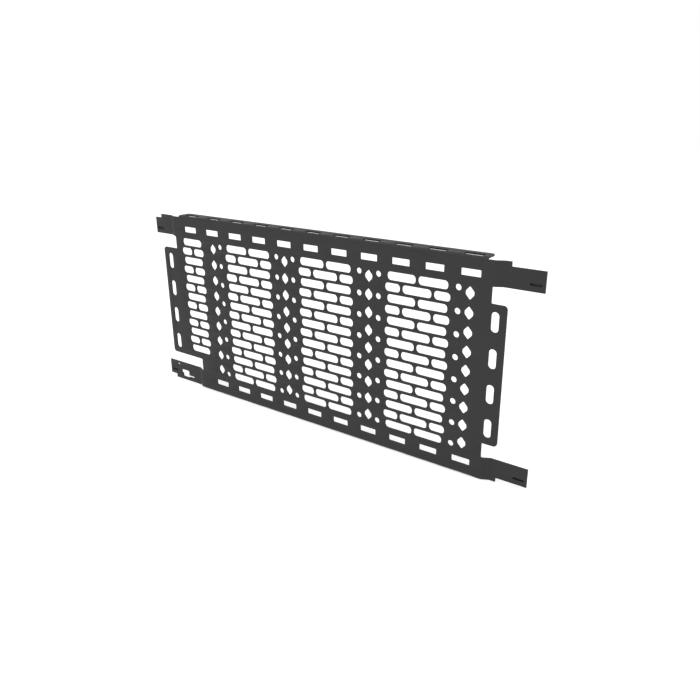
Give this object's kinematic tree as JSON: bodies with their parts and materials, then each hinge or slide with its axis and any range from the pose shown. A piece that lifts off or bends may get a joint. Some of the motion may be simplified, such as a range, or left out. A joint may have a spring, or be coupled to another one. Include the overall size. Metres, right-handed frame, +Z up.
{
  "type": "headache rack",
  "caption": "Laser-cut steel headache rack panel with lashing slots, folded top and bottom edges, and a clamp plate on each of its four arms.",
  "frame": {"origin": "middle of the underside of the rack's bounding box", "axes": "+X across the vehicle, to the right as seen from the front face; +Y from the front face towards the folded edges; +Z up"},
  "size_m": [1.47, 0.05, 0.645],
  "materials": {
    "powder_coat": "satin black powder coat, fine texture",
    "black_zinc": "black zinc plated steel"
  },
  "bodies": {
    "panel": {"main_panel": "powder_coat", "clamp_stud_upper_left_outer": "black_zinc", "clamp_stud_upper_left_inner": "black_zinc", "clamp_stud_upper_right_outer": "black_zinc", "clamp_stud_upper_right_inner": "black_zinc", "clamp_stud_lower_left_outer": "black_zinc", "clamp_stud_lower_left_inner": "black_zinc", "clamp_stud_lower_right_outer": "black_zinc", "clamp_stud_lower_right_inner": "black_zinc"},
    "clamp_upper_left": {"clamp_plate_upper_left": "powder_coat", "washer_upper_left_outer": "black_zinc", "nut_upper_left_outer": "black_zinc", "washer_upper_left_inner": "black_zinc", "nut_upper_left_inner": "black_zinc"},
    "clamp_upper_right": {"clamp_plate_upper_right": "powder_coat", "washer_upper_right_outer": "black_zinc", "nut_upper_right_outer": "black_zinc", "washer_upper_right_inner": "black_zinc", "nut_upper_right_inner": "black_zinc"},
    "clamp_lower_left": {"clamp_plate_lower_left": "powder_coat", "washer_lower_left_outer": "black_zinc", "nut_lower_left_outer": "black_zinc", "washer_lower_left_inner": "black_zinc", "nut_lower_left_inner": "black_zinc"},
    "clamp_lower_right": {"clamp_plate_lower_right": "powder_coat", "washer_lower_right_outer": "black_zinc", "nut_lower_right_outer": "black_zinc", "washer_lower_right_inner": "black_zinc", "nut_lower_right_inner": "black_zinc"}
  },
  "joints": [
    {"name": "clamp_upper_left_opening", "type": "slide", "parent": "panel", "child": "clamp_upper_left", "axis": [0, 1, 0], "range_m": [0, 0.005]},
    {"name": "clamp_upper_right_opening", "type": "slide", "parent": "panel", "child": "clamp_upper_right", "axis": [0, 1, 0], "range_m": [0, 0.005]},
    {"name": "clamp_lower_left_opening", "type": "slide", "parent": "panel", "child": "clamp_lower_left", "axis": [0, 1, 0], "range_m": [0, 0.005]},
    {"name": "clamp_lower_right_opening", "type": "slide", "parent": "panel", "child": "clamp_lower_right", "axis": [0, 1, 0], "range_m": [0, 0.005]}
  ]
}
